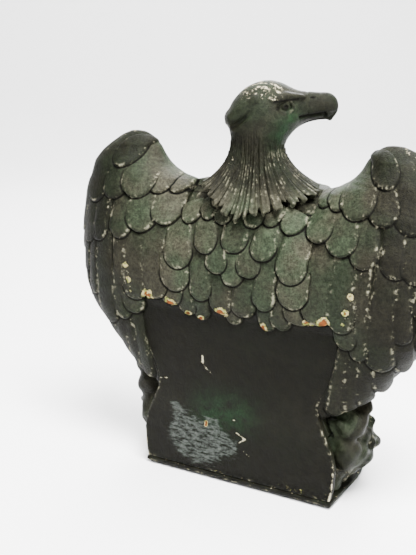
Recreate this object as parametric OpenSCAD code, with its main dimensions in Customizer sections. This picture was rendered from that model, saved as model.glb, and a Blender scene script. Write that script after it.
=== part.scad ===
// Hollow cast metal eagle ornament, assembled from castings on a base plate.
// Millimetres, +Z up, the eagle faces -Y, its flat rear panel faces +Y and its left wing is at +X.

/* [Overall] */
// height from the underside of the pad to the crown of the head
height = 300; // [200:5:450]
// half of the span across the two wings
wing_half_span = 152; // [120:1:200]
// half width of the rear panel along its bottom edge
panel_half_w = 79; // [60:1:100]
// how far the outer face of the rear panel stands behind the post axis
panel_y = 40; // [32:1:60]
// how far the front of the rock stands ahead of the post axis
rock_front = 62; // [50:1:85]

/* [Castings] */
// wall thickness of the castings
wall = 5; // [4:0.5:8]
// thickness of the rear panel
panel_t = 6; // [4:0.5:10]
// clearance left at the seams between castings
seam = 0.5; // [0.3:0.05:0.8]
// depth of the chest in front of the post axis
chest = 44; // [34:1:56]

/* [Wings] */
// thickness of a wing at the wrist
wing_wrist_t = 19; // [12:1:30]
// thickness of a wing near its lower tip
wing_tip_t = 13; // [8:1:20]
// height of the lower tips of the wings as a share of the height
wing_tip_share = 0.22; // [0.18:0.01:0.3]

/* [Head] */
// radius of the neck just under the head
neck_r = 20; // [16:0.5:25]
// length from the back of the head to the front of the beak
head_len = 79; // [60:1:95]
// angle of the beak away from straight ahead, towards the eagle's right
head_turn = 60; // [0:5:80]

/* [Base] */
// thickness of the felt pad
pad_t = 2; // [1:0.5:4]
// thickness of the closing plate under the rock
plate_t = 4; // [3:0.5:8]
// clearance between the end of the tie rod and the post socket
rod_gap = 0.6; // [0.4:0.2:16]
// radius of the tapped post hole in the socket
post_r = 7; // [5:0.5:9]
// depth of the tapped post hole from the underside of the pad
post_depth = 28; // [20:1:30]

/* [Fasteners] */
// radius of the tie rod
rod_r = 4; // [3:0.5:6]
// radius of the bolts that hold the wings and feet
bolt_r = 2.5; // [2:0.25:4]
// radius of the pins along the seam of the rear casting
pin_r = 1.5; // [1:0.25:2.5]
// radius of the countersunk screws under the base
screw_r = 2; // [1.5:0.25:3]

/* [Hidden] */
$fn = 48;
k = height / 300;
plate_z = pad_t;
shell_z = pad_t + plate_t;
washer_t = 1.6;
nut_h = rod_r * 1.5;
nut_space = 0.1;
rod_spare = 1;
socket_lip = 4;
rock_top = post_depth + socket_lip + rod_gap + rod_spare + 2 * (nut_h + nut_space) + washer_t + wall;
rock_h = rock_top - shell_z;
body_z = rock_top + seam;
body_top = 226 * k;
feather_z = 132 * k;
feather_lap = 4 * k;
panel_in = panel_y - panel_t;
tip_z = height * wing_tip_share;
wing_top = 262 * k;
hole_gap = 0.25;
tight_gap = hole_gap / 5;
face_gap = 0.05;
nut_flats = 1.8;
bolt_head = 1.4;

function mix(a, b, t) = a + (b - a) * t;
function clamp01(t) = max(0, min(1, t));
function spow(v, e) = sign(v) * pow(abs(v), e);

// ---- plan of the body, from the rock up to the shoulders ----
function core_w(z) = panel_half_w / 79 * lookup(z / k,
    [[0, 79], [28, 78], [52, 72], [66, 68], [86, 70], [104, 75], [124, 82], [140, 80], [160, 68], [185, 58], [205, 54], [226, 50]]);
function back_mid(z) = panel_y + lookup(z / k,
    [[0, 0], [132, 0], [142, 4], [160, 5], [182, 4], [198, 0], [212, -7], [226, -16]]);
function back_fall(z) = lookup(z / k, [[0, 0], [176, 0], [198, 4], [212, 10], [226, 15]]);
function back_y(x, z) = back_mid(z) - back_fall(z) * pow(x / (50 * k), 2);
function skin_y(z) = wall * lookup(z / k, [[0, 1], [176, 1], [198, 1.3], [226, 1.7]]);
function chest_y(z) = -max(rod_r + wall + 4, chest * lookup(z / k,
    [[52, 0.3], [68, 0.4], [90, 0.6], [118, 0.9], [145, 1], [180, 0.96], [205, 0.78], [226, 0.58]]));

// ---- closed skins built from rows of points ----
// a sheet has an outer grid and an inner grid of the same size, joined round all four rims
function sheet_faces(m, n) = let (o = m * n) concat(
    [for (i = [0:m - 2], j = [0:n - 2]) [i * n + j, i * n + j + 1, (i + 1) * n + j + 1]],
    [for (i = [0:m - 2], j = [0:n - 2]) [i * n + j, (i + 1) * n + j + 1, (i + 1) * n + j]],
    [for (i = [0:m - 2], j = [0:n - 2]) [o + i * n + j, o + (i + 1) * n + j + 1, o + i * n + j + 1]],
    [for (i = [0:m - 2], j = [0:n - 2]) [o + i * n + j, o + (i + 1) * n + j, o + (i + 1) * n + j + 1]],
    [for (j = [0:n - 2]) [j, o + j, o + j + 1]],
    [for (j = [0:n - 2]) [j, o + j + 1, j + 1]],
    [for (j = [0:n - 2]) let (a = (m - 1) * n + j) [a, a + 1, o + a + 1]],
    [for (j = [0:n - 2]) let (a = (m - 1) * n + j) [a, o + a + 1, o + a]],
    [for (i = [0:m - 2]) let (a = i * n, b = (i + 1) * n) [a, b, o + b]],
    [for (i = [0:m - 2]) let (a = i * n, b = (i + 1) * n) [a, o + b, o + a]],
    [for (i = [0:m - 2]) let (a = i * n + n - 1, b = (i + 1) * n + n - 1) [a, o + a, o + b]],
    [for (i = [0:m - 2]) let (a = i * n + n - 1, b = (i + 1) * n + n - 1) [a, o + b, b]]);

module sheet(outer, inner)
    polyhedron(points = concat([for (r = outer) each r], [for (r = inner) each r]),
        faces = sheet_faces(len(outer), len(outer[0])));

// a loft has rows of closed loops, with a fan over each end
module loft(rows) {
    m = len(rows);
    n = len(rows[0]);
    ends = [for (r = [rows[0], rows[m - 1]]) [for (c = [0:2]) (min([for (p = r) p[c]]) + max([for (p = r) p[c]])) / 2]];
    polyhedron(points = concat([for (r = rows) each r], ends), faces = concat(
        [for (i = [0:m - 2], j = [0:n - 1]) let (q = (j + 1) % n) [i * n + j, (i + 1) * n + q, i * n + q]],
        [for (i = [0:m - 2], j = [0:n - 1]) let (q = (j + 1) % n) [i * n + j, (i + 1) * n + j, (i + 1) * n + q]],
        [for (j = [0:n - 1]) [m * n, j, (j + 1) % n]],
        [for (j = [0:n - 1]) [m * n + 1, (m - 1) * n + (j + 1) % n, (m - 1) * n + j]]));
}

// ---- positions and sizes shared by the fasteners ----
function back_t(z) = panel_t + skin_y(z) - wall;
head_dir = [-sin(head_turn), -cos(head_turn)];
head_mid = [0, 5 * k];
neck_top = 264 * k;
rod_high = 262 * k;
rod_low = post_depth + socket_lip + rod_gap;
boss_in = 12;
boss_r = bolt_r + 3;
bolt_len = boss_in + 14;
wing_bolt_z = [150 * k, 178 * k];
wing_bolt_y = panel_y - 8;
wing_rim_t = 1.2;
foot_x = 32 * k;
foot_y = -rock_front * 0.5;
foot_bolt_len = wall + 10;
shank_r = 6.5;
thigh_z = rock_top + 16 * k;
thigh_r1 = 10 * k;
thigh_r2 = 17 * k;
thigh_h = 34 * k;
pin_z = [66 * k, 92 * k, 118 * k];
pin_len = 9;
screw_places = [[66, 16], [62, -34]];
screw_len = 14;
screw_head_r = screw_r * 2;
screw_head_h = screw_r * 1.2;
lug_r = screw_r + 4.5;
lug_h = 14;
socket_r = post_r + 4;
socket_flange_r = socket_r + 11;
socket_flange_t = 4;
socket_screw_ring = socket_r + 6;
rock_rough = 0.012;

// ---- outlines ----
module panel_outline() {
    zs = [for (i = [0:14]) mix(shell_z + seam, feather_z, i / 14)];
    polygon(concat([for (z = zs) [core_w(z), z]], [for (i = [14:-1:0]) [-core_w(zs[i]), zs[i]]]));
}

module foot_print(inset) {
    w = panel_half_w - inset;
    f = rock_front - inset;
    b = panel_y - inset;
    n = 32;
    polygon(concat([[w, b], [-w, b]],
        [for (i = [0:n]) let (t = 180 * i / n) [-w * spow(cos(t), 0.62), -f * spow(sin(t), 0.62)]]));
}

// ---- fastener sets, used both as parts and as holes ----
module hex_bar(r, h) cylinder(r = r, h = h, $fn = 6);
module washer(inner, outer) difference() {
    cylinder(r = outer, h = washer_t);
    translate([0, 0, -1]) cylinder(r = inner, h = washer_t + 2);
}
// each place turns local +Z into the direction in which its bolt points
module at_wing_bolts() for (s = [-1, 1], z = wing_bolt_z)
    translate([s * (core_w(z) - boss_in), wing_bolt_y, z]) rotate([0, s * 90, 0]) children();
module at_foot_bolts() for (s = [-1, 1])
    translate([s * foot_x, foot_y, rock_top - wall]) children();
module at_seam_pins() for (s = [-1, 1], z = pin_z)
    translate([s * (core_w(z) - wall / 2), panel_in - pin_len / 2 - seam / 2, z]) rotate([-90, 0, 0]) children();
module at_base_screws() for (s = [-1, 1], p = screw_places)
    translate([s * p[0], p[1], plate_z]) children();
module at_socket_screws() for (i = [0:3])
    rotate([0, 0, 45 + 90 * i]) translate([socket_screw_ring, 0, plate_z]) children();

// ---- castings ----
// the rear casting and the front shell share these rows, so their seam stays even
back_rows = concat([feather_z - feather_lap], [for (i = [0:13]) mix(feather_z, body_top, i / 13)]);
back_cols = 18;
module back_casting() color("darkolivegreen") difference() {
    union() {
        translate([0, panel_y, 0]) rotate([90, 0, 0]) linear_extrude(panel_t) panel_outline();
        sheet([for (z = back_rows) [for (j = [0:back_cols])
                let (x = mix(-1, 1, j / back_cols) * core_w(z)) [x, back_y(x, z), z]]],
            [for (z = back_rows) [for (j = [0:back_cols])
                let (x = mix(-1, 1, j / back_cols) * core_w(z)) [x, back_y(x, z) - back_t(z), z]]]);
    }
    at_seam_pins() cylinder(r = pin_r + tight_gap, h = pin_len + hole_gap);
}

shell_rows = concat([for (i = [0:8]) mix(body_z, feather_z - feather_lap, i / 9)], back_rows);
shell_cols = 30;
function shell_rim(z) = back_y(core_w(z), z) - back_t(z) - seam;
function shell_point(t, z, w) = [(core_w(z) - w) * spow(cos(t), 0.8),
    shell_rim(z) - (shell_rim(z) - chest_y(z) - w) * spow(sin(t), 0.8), z];
module front_casting() color("olivedrab") difference() {
    union() {
        sheet([for (z = shell_rows) [for (j = [0:shell_cols]) shell_point(180 * j / shell_cols, z, 0)]],
            [for (z = shell_rows) [for (j = [0:shell_cols]) shell_point(180 * j / shell_cols, z, wall)]]);
        for (s = [-1, 1]) translate([s * foot_x, foot_y, thigh_z]) {
            cylinder(r1 = thigh_r1, r2 = thigh_r2, h = thigh_h);
            translate([0, 0, thigh_h]) cylinder(r1 = thigh_r2, r2 = thigh_r1, h = thigh_h * 0.7);
        }
        at_wing_bolts() cylinder(r = boss_r, h = boss_in - wall / 2);
    }
    at_wing_bolts() translate([0, 0, -1]) cylinder(r = bolt_r + hole_gap, h = boss_in + 3);
    at_seam_pins() cylinder(r = pin_r + tight_gap, h = pin_len);
}

wing_rows = 26;
wing_cols = 20;
function wing_in(z) = z < body_top ? core_w(z) + seam
    : k * lookup(z / k, [[226, 50.3], [231, 64], [236, 72], [241, 77], [247, 81], [253, 84], [259, 89], [262, 95]]);
function wing_out(z) = wing_half_span / 152 * k * lookup(z / k,
    [[66, 88], [70, 97], [78, 105], [91, 113], [104, 121], [117, 130], [130, 141], [143, 147], [156, 150], [172, 152],
        [195, 152], [212, 151], [226, 148], [236, 144], [245, 137], [252, 128], [258, 119], [262, 110]]);
function wing_edge(z) = k * lookup(z / k, [[66, 14], [120, 4], [160, -4], [200, -3], [235, 2], [262, 5]]);
function wing_flat(z) = panel_y + k * lookup(z / k,
    [[66, -6], [100, -2], [130, 3], [160, 6], [190, 5], [215, 0], [235, -8], [250, -18], [262, -30]]);
function wing_root_y(z) = z < body_top ? back_y(core_w(z), z)
    : mix(back_y(core_w(body_top), body_top), wing_edge(z), clamp01((z - body_top) / (8 * k)));
function wing_y(t, z) = wing_edge(z) + (wing_flat(z) - wing_edge(z)) * sqrt(max(0, 1 - pow(t, 4)))
    - (wing_flat(z) - wing_root_y(z)) * pow(1 - t, 4);
function wing_t(t, z) = max(wing_rim_t, lookup(z / k, [[66, wing_tip_t * 0.6], [100, wing_tip_t],
        [160, (wing_tip_t + wing_wrist_t) / 2], [215, wing_wrist_t], [240, wing_wrist_t], [262, wing_wrist_t * 0.4]])
    * sqrt(max(0, 1 - pow(t, 8))) * (z < body_top ? 1 : sqrt(max(0, 1 - pow(1 - t, 8)))));
function wing_loop(z) = concat(
    [for (i = [0:wing_cols]) let (t = sin(90 * i / wing_cols))
        [mix(wing_in(z), wing_out(z), t), wing_y(t, z) - wing_t(t, z), z]],
    [for (i = [wing_cols:-1:0]) let (t = sin(90 * i / wing_cols)) [mix(wing_in(z), wing_out(z), t), wing_y(t, z), z]]);
module wing() difference() {
    loft([for (i = [0:wing_rows]) wing_loop(mix(tip_z, wing_top, i / wing_rows))]);
    at_wing_bolts() cylinder(r = bolt_r + tight_gap, h = bolt_len + 1);
}
module left_wing() color("seagreen") wing();
module right_wing() color("mediumseagreen") mirror([1, 0, 0]) wing();

// the neck is a cup: up inside from the top of its hollow, round the rim, and up outside to the top
neck_n = 36;
function skirt_drop(t) = k * (sin(t) > 0 ? 24 : 10) * pow(sin(t), 2);
function skirt_r(t, s) = mix(k * norm([40 * cos(t), (sin(t) > 0 ? 38 : 41) * sin(t)]) + wall, neck_r, pow(s, 0.62));
function neck_point(t, s, w) = [head_mid[0] + (skirt_r(t, s) - w) * cos(t),
    head_mid[1] + (skirt_r(t, s) - w) * sin(t), mix(230 * k - skirt_drop(t), neck_top, s)];
function neck_loop(s, w) = [for (j = [0:neck_n - 1]) neck_point(360 * j / neck_n, s, w)];
module neck_cup() loft(concat([for (i = [8:-1:0]) neck_loop(i / 10, wall)], [for (i = [0:10]) neck_loop(i / 10, 0)]));
module neck_seat() translate([0, 0, body_top + seam]) linear_extrude(wall * 0.8) polygon(concat(
    [for (j = [0:shell_cols]) let (p = shell_point(180 * j / shell_cols, body_top, 1)) [p[0], p[1]]],
    [for (j = [0:back_cols]) let (x = mix(-1, 1, j / back_cols) * (core_w(body_top) - 1)) [x, back_y(x, body_top) - 1]]));

// distances along the head are shares of its length, from the back of the skull to the beak
function head_top(u) = k * lookup(u * 79, [[0, 276], [3, 283], [8, 290], [17, 297], [29, 300], [40, 299], [48, 295],
    [55, 293], [64, 292], [71, 290], [76, 286], [79, 281]]);
function head_low(u) = k * lookup(u * 79, [[0, 271], [3, 262], [8, 256], [17, 254], [29, 256], [42, 260], [50, 267],
    [58, 271], [66, 273], [71, 272], [75, 272], [79, 275]]);
function head_half(u) = k * lookup(u * 79, [[0, 3], [4, 12], [12, 18], [24, 20], [38, 18], [48, 13], [56, 9], [66, 7],
    [74, 5], [79, 1.5]]);
head_n = 24;
head_rows = 22;
module head_shape() loft([for (i = [0:head_rows]) let (u = i / head_rows, s = (u - 24 / 79) * head_len * k)
    [for (j = [0:head_n - 1]) let (a = 360 * j / head_n, mid = (head_top(u) + head_low(u)) / 2)
        [head_mid[0] + head_dir[0] * s - head_dir[1] * head_half(u) * cos(a),
            head_mid[1] + head_dir[1] * s + head_dir[0] * head_half(u) * cos(a),
            mid + (head_top(u) - head_low(u)) / 2 * sin(a)]]]);

module head_and_neck() color("darkseagreen") difference() {
    union() {
        neck_cup();
        neck_seat();
        head_shape();
        translate([0, 0, body_top + seam]) cylinder(r = rod_r + wall, h = neck_top - body_top - 4);
    }
    translate([0, 0, body_top - 1]) cylinder(r = rod_r + tight_gap, h = rod_high - body_top + 2);
}

// ---- rock and feet ----
rock_n = 44;
function rock_w(s) = panel_half_w * lookup(s, [[0, 0.98], [0.3, 1.06], [0.6, 1.2], [0.85, 1.22], [1, 1.08]]);
function rock_f(s) = rock_front * lookup(s, [[0, 0.98], [0.3, 1], [0.6, 0.97], [0.85, 0.92], [1, 0.84]]);
function rock_bump(t, s) = 1 + rock_rough * (sin(5 * t + 60 * s) + 0.7 * sin(9 * t - 90 * s));
function rock_loop(s, w) = [for (j = [0:rock_n - 1]) let (t = 360 * j / rock_n, q = rock_bump(t, s))
    [(rock_w(s) * q - w) * spow(cos(t), 0.7),
        sin(t) > 0 ? (panel_in - seam - w) * spow(sin(t), 0.5) : (rock_f(s) * q - w) * spow(sin(t), 0.7),
        shell_z + seam + s * (rock_h - seam - w)]];
module rock_base() color("dimgray") difference() {
    union() {
        loft(concat([for (i = [8:-1:0]) rock_loop(i / 8, wall)], [for (i = [0:8]) rock_loop(i / 8, 0)]));
        at_base_screws() translate([0, 0, plate_t + seam]) cylinder(r = lug_r, h = lug_h);
    }
    translate([0, 0, rock_top - wall - 1]) cylinder(r = rod_r + hole_gap, h = wall + 2);
    at_foot_bolts() translate([0, 0, -1]) cylinder(r = bolt_r + hole_gap, h = wall + 2);
    at_base_screws() cylinder(r = screw_r + tight_gap, h = screw_len + 1);
}

module toe(angle, len, r) rotate([0, 0, angle]) translate([0, 0, r + seam]) {
    rotate([0, 90, 0]) cylinder(r = r, h = len);
    translate([len, 0, 0]) sphere(r = r);
    translate([len + r * 0.4, 0, r * 0.25]) rotate([0, 112, 0]) cylinder(r1 = r * 0.72, r2 = 0.5, h = r * 1.9);
}
module foot(turn) translate([0, 0, rock_top]) difference() {
    union() {
        cylinder(r = shank_r, h = thigh_z - rock_top - seam);
        translate([0, 0, seam]) cylinder(r1 = shank_r + 3, r2 = shank_r, h = 7);
        for (a = [-32, 0, 32]) toe(-90 + turn + a, 15 * k, 4);
        toe(90 + turn, 9 * k, 4);
    }
    translate([0, 0, -1]) cylinder(r = bolt_r + tight_gap, h = foot_bolt_len - wall + 2);
    translate([0, 0, -20]) cylinder(r = 40, h = 20 + seam);
}
module left_foot() color("sienna") translate([foot_x, foot_y, 0]) foot(12);
module right_foot() color("peru") translate([-foot_x, foot_y, 0]) foot(-12);

// ---- base ----
module base_plate() color("slategray") difference() {
    translate([0, 0, plate_z]) linear_extrude(plate_t) foot_print(0);
    translate([0, 0, plate_z - 1]) cylinder(r = socket_r + hole_gap, h = plate_t + 2);
    at_base_screws() {
        cylinder(r = screw_r + hole_gap, h = plate_t + 1);
        translate([0, 0, -0.01]) cylinder(r1 = screw_head_r + hole_gap, r2 = screw_r + hole_gap, h = screw_head_h);
    }
    at_socket_screws() {
        cylinder(r = screw_r + hole_gap, h = plate_t + 1);
        translate([0, 0, -0.01]) cylinder(r1 = screw_head_r + hole_gap, r2 = screw_r + hole_gap, h = screw_head_h);
    }
}

module post_socket() color("goldenrod") difference() {
    union() {
        cylinder(r = socket_r, h = post_depth + socket_lip);
        translate([0, 0, shell_z]) cylinder(r = socket_flange_r, h = socket_flange_t);
    }
    translate([0, 0, -1]) cylinder(r = post_r, h = post_depth + 1);
    at_socket_screws() cylinder(r = screw_r + tight_gap, h = 30);
}

module felt_pad() color("black") difference() {
    linear_extrude(pad_t) foot_print(1.5);
    translate([0, 0, -1]) cylinder(r = socket_r + 2, h = pad_t + 2);
}

// ---- fasteners ----
module tie_rod() color("silver") translate([0, 0, rod_low]) cylinder(r = rod_r, h = rod_high - rod_low);
module tie_rod_nuts() color("gold") for (i = [1:2])
    translate([0, 0, rock_top - wall - washer_t - face_gap - i * (nut_h + nut_space)]) difference() {
        hex_bar(rod_r * nut_flats, nut_h);
        translate([0, 0, -1]) cylinder(r = rod_r + tight_gap, h = nut_h + 2);
    }
module tie_rod_washer() color("lightgray") translate([0, 0, rock_top - wall - washer_t - face_gap])
    washer(rod_r + hole_gap, rod_r * 2.4);
module bolt(r, length) {
    translate([0, 0, -washer_t - 2 * face_gap - r * bolt_head]) hex_bar(r * nut_flats, r * bolt_head);
    translate([0, 0, -washer_t - 4 * face_gap]) cylinder(r = r, h = length + washer_t + 4 * face_gap);
}
module wing_bolts() color("orange") at_wing_bolts() bolt(bolt_r, bolt_len);
module wing_washers() color("khaki") at_wing_bolts() translate([0, 0, -washer_t - face_gap]) washer(bolt_r + hole_gap, bolt_r * 2.1);
module foot_bolts() color("orangered") at_foot_bolts() bolt(bolt_r, foot_bolt_len);
module foot_washers() color("wheat") at_foot_bolts() translate([0, 0, -washer_t - face_gap]) washer(bolt_r + hole_gap, bolt_r * 2.1);
module seam_pins() color("crimson") at_seam_pins() cylinder(r = pin_r, h = pin_len);
module countersunk(length) {
    cylinder(r1 = screw_head_r, r2 = screw_r, h = screw_head_h);
    cylinder(r = screw_r, h = length);
}
module base_screws() color("plum") at_base_screws() countersunk(screw_len);
module socket_screws() color("violet") at_socket_screws() countersunk(plate_t + socket_flange_t);

back_casting();
front_casting();
left_wing();
right_wing();
head_and_neck();
rock_base();
left_foot();
right_foot();
base_plate();
post_socket();
felt_pad();
tie_rod();
tie_rod_nuts();
tie_rod_washer();
wing_bolts();
wing_washers();
foot_bolts();
foot_washers();
seam_pins();
base_screws();
socket_screws();
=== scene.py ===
# A hollow cast metal eagle, seen from its feathered back: wings, head and body are separate castings
# pinned, bolted and tied together over a rock, and painted dark green over a cream ground.
import math
import bpy
import numpy as np
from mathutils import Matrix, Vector


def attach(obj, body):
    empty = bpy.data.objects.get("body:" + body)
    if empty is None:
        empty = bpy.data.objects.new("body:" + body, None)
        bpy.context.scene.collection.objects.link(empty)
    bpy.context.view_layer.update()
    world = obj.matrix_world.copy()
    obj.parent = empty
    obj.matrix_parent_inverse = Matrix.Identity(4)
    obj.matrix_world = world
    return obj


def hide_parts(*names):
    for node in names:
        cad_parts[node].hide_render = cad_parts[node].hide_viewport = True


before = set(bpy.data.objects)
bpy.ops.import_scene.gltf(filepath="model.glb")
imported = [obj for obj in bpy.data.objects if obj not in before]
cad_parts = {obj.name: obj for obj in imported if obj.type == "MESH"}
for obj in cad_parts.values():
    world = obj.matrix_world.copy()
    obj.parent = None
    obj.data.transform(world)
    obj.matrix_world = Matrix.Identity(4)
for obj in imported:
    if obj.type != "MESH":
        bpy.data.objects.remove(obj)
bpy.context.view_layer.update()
MM = 0.001


# ------------------------------------------------------------------ camera, floor and studio light
# The figure is looked at from behind and above, a little from its right-hand side.
turn = math.radians(30.3)
rise = math.radians(14.8)
aim = Vector((46, 0, 148)) * MM
away = Vector((-math.sin(turn) * math.cos(rise), math.cos(turn) * math.cos(rise), math.sin(rise)))
camera_data = bpy.data.cameras.new("camera")
camera_data.sensor_fit = "VERTICAL"
camera_data.sensor_height = 36
camera_data.lens = 60.65
camera_data.clip_start = 0.01
camera = bpy.data.objects.new("camera", camera_data)
camera.location = aim + away * 729 * MM
camera.rotation_euler = (-away).to_track_quat("-Z", "Y").to_euler()
bpy.context.scene.collection.objects.link(camera)
bpy.context.scene.camera = camera

# a sheet of pale paper lies under the figure and sweeps up behind it
sweep = [(-1.5 - 1.2 * math.sin(a / 12 * math.pi / 2), 1.2 - 1.2 * math.cos(a / 12 * math.pi / 2))
         for a in range(13)]
sweep = [(6, 0)] + sweep + [(-2.7, 5)]
right = Vector((math.cos(turn), math.sin(turn), 0))
out = Vector((-math.sin(turn), math.cos(turn), 0))
sheet = [tuple(right * side + out * far + Vector((0, 0, up))) for far, up in sweep for side in (-6, 6)]
floor_mesh = bpy.data.meshes.new("floor")
floor_mesh.from_pydata(sheet, [], [(n, n + 1, n + 3, n + 2) for n in range(0, 2 * len(sweep) - 2, 2)])
floor_mesh.shade_smooth()
floor = bpy.data.objects.new("floor", floor_mesh)
bpy.context.scene.collection.objects.link(floor)
floor_paint = bpy.data.materials.new("pale_floor")
floor_paint.use_nodes = True
floor_paint.node_tree.nodes["Principled BSDF"].inputs["Base Color"].default_value = (0.93, 0.93, 0.93, 1)
floor_paint.node_tree.nodes["Principled BSDF"].inputs["Roughness"].default_value = 0.9
floor_mesh.materials.append(floor_paint)

world = bpy.data.worlds.new("studio")
world.use_nodes = True
world.node_tree.nodes["Background"].inputs["Color"].default_value = (1, 1, 1, 1)
world.node_tree.nodes["Background"].inputs["Strength"].default_value = 0.6
bpy.context.scene.world = world


def soft_box(name, place, width, power):
    data = bpy.data.lights.new(name, "AREA")
    data.shape = "SQUARE"
    data.size = width
    data.energy = power
    lamp = bpy.data.objects.new(name, data)
    lamp.location = place
    lamp.rotation_euler = (Vector((0, 0, 0.16)) - Vector(place)).to_track_quat("-Z", "Y").to_euler()
    bpy.context.scene.collection.objects.link(lamp)


soft_box("key_above", (-0.45, 0.45, 1.35), 0.6, 130)
soft_box("fill_right", (-1.3, 0.3, 0.5), 0.8, 30)
soft_box("rim_front", (0.3, -1.2, 1.0), 0.9, 45)
wash = bpy.data.lights.new("paper_wash", "AREA")
wash.size = 2
wash.energy = 150
washer = bpy.data.objects.new("paper_wash", wash)
washer.location = out * -1.0 + Vector((0, 0, 2.6))
washer.rotation_euler = (out * -1.2 + Vector((0, 0, -1.6))).to_track_quat("-Z", "Y").to_euler()
bpy.context.scene.collection.objects.link(washer)


# ------------------------------------------------------------------ the old paint
# Every casting has the same finish: a cream ground, then dark green gone grey with dust and handling,
# rubbed on the high edges and chipped through to rust at the feather tips.
# Values stored on the mesh say where: painted shade in grooves, recesses and under overhangs, with a few
# plain dark patches; edge (rubbed rims); chip and fleck (flaked spots); pale (where the green has
# weathered to grey, and in places painted light or painted shade); moss (fresher green) and scuff
# (rubbed bare of gloss).
def wire(tree, source, target):
    tree.links.new(source, target)


def maths(tree, operation, a, b=None, clamp=False):
    node = tree.nodes.new("ShaderNodeMath")
    node.operation = operation
    node.use_clamp = clamp
    for socket, value in zip(node.inputs, (a, b)):
        if value is None:
            continue
        if isinstance(value, (int, float)):
            socket.default_value = value
        else:
            tree.links.new(value, socket)
    return node.outputs[0]


def noise(tree, where, scale, detail=3.0, rough=0.55):
    node = tree.nodes.new("ShaderNodeTexNoise")
    node.inputs["Scale"].default_value = scale
    node.inputs["Detail"].default_value = detail
    node.inputs["Roughness"].default_value = rough
    tree.links.new(where, node.inputs["Vector"])
    return node.outputs["Fac"]


def step_up(tree, value, low, high):
    node = tree.nodes.new("ShaderNodeMapRange")
    node.interpolation_type = "SMOOTHSTEP"
    node.inputs["From Min"].default_value = low
    node.inputs["From Max"].default_value = high
    tree.links.new(value, node.inputs["Value"])
    return node.outputs["Result"]


def blend_colour(tree, amount, a, b):
    node = tree.nodes.new("ShaderNodeMix")
    node.data_type = "RGBA"
    for socket, value in ((node.inputs[0], amount), (node.inputs[6], a), (node.inputs[7], b)):
        if isinstance(value, (int, float, tuple)):
            socket.default_value = value
        else:
            tree.links.new(value, socket)
    return node.outputs[2]


def stored(tree, name):
    node = tree.nodes.new("ShaderNodeAttribute")
    node.attribute_name = name
    return node.outputs["Fac"]


patina = bpy.data.node_groups.new("old_paint", "ShaderNodeTree")
for label, kind in (("Color", "NodeSocketColor"), ("Roughness", "NodeSocketFloat"),
                    ("Height", "NodeSocketFloat")):
    patina.interface.new_socket(label, in_out="OUTPUT", socket_type=kind)
for label in ("Dark", "Green", "Grey"):
    patina.interface.new_socket(label, in_out="INPUT", socket_type="NodeSocketColor")
t = patina
given = t.nodes.new("NodeGroupInput")
made = t.nodes.new("NodeGroupOutput")
coords = t.nodes.new("ShaderNodeTexCoord").outputs["Object"]
geometry = t.nodes.new("ShaderNodeNewGeometry")
facing = t.nodes.new("ShaderNodeSeparateXYZ")
wire(t, geometry.outputs["Normal"], facing.inputs[0])
broad = noise(t, coords, 28, 4)
mottle = noise(t, coords, 130, 5, 0.65)
grain = noise(t, coords, 900, 4, 0.7)
speck = noise(t, coords, 420, 2, 0.5)
up = step_up(t, facing.outputs["Z"], -0.5, 0.9)
# Dust on upward faces lifts the paint towards weathered grey-green; the stored pale value, mostly
# weathering, also carries painted light (the lit hackles, a highlight on the crown) and painted shade (the
# darker outer wing).
pale = maths(t, "ADD", maths(t, "MULTIPLY", stored(t, "pale"), 0.85), maths(t, "MULTIPLY", up, 0.16))
swing = maths(t, "ADD", maths(t, "MULTIPLY", pale, 1.3), 0.2)
uneven = maths(t, "MULTIPLY", maths(t, "SUBTRACT", mottle, 0.5), swing)
pale = maths(t, "ADD", pale, uneven, True)
green_mix = step_up(t, broad, 0.36, 0.66)
weathered = blend_colour(t, green_mix, given.outputs["Grey"], given.outputs["Green"])
colour = blend_colour(t, pale, given.outputs["Dark"], weathered)
fresh = maths(t, "MULTIPLY", stored(t, "moss"), step_up(t, mottle, 0.3, 0.6), True)
colour = blend_colour(t, fresh, colour, (0.0045, 0.014, 0.005, 1))
streaks = t.nodes.new("ShaderNodeMapping")
streaks.inputs["Rotation"].default_value = (0, 0.5, 0)
streaks.inputs["Scale"].default_value = (0.45, 1, 1.5)
wire(t, coords, streaks.inputs["Vector"])
strokes = noise(t, streaks.outputs[0], 300, 5, 0.75)
scuff = maths(t, "ADD", stored(t, "scuff"), maths(t, "MULTIPLY", maths(t, "SUBTRACT", strokes, 0.5), 2.6))
scuff = maths(t, "MULTIPLY", step_up(t, scuff, 0.42, 0.9), step_up(t, stored(t, "scuff"), 0.02, 0.2))
colour = blend_colour(t, maths(t, "MULTIPLY", scuff, 0.85), colour, (0.042, 0.048, 0.042, 1))
grain_tone = maths(t, "ADD", maths(t, "MULTIPLY", step_up(t, grain, 0.32, 0.68), 0.7), 0.45)
grain_tone = maths(t, "ADD", grain_tone, maths(t, "MULTIPLY", step_up(t, speck, 0.4, 0.62), 0.45))
toned = t.nodes.new("ShaderNodeMix")
toned.data_type = "RGBA"
toned.blend_type = "MULTIPLY"
toned.inputs[0].default_value = 1
wire(t, colour, toned.inputs[6])
wire(t, grain_tone, toned.inputs[7])
colour = toned.outputs[2]
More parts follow.
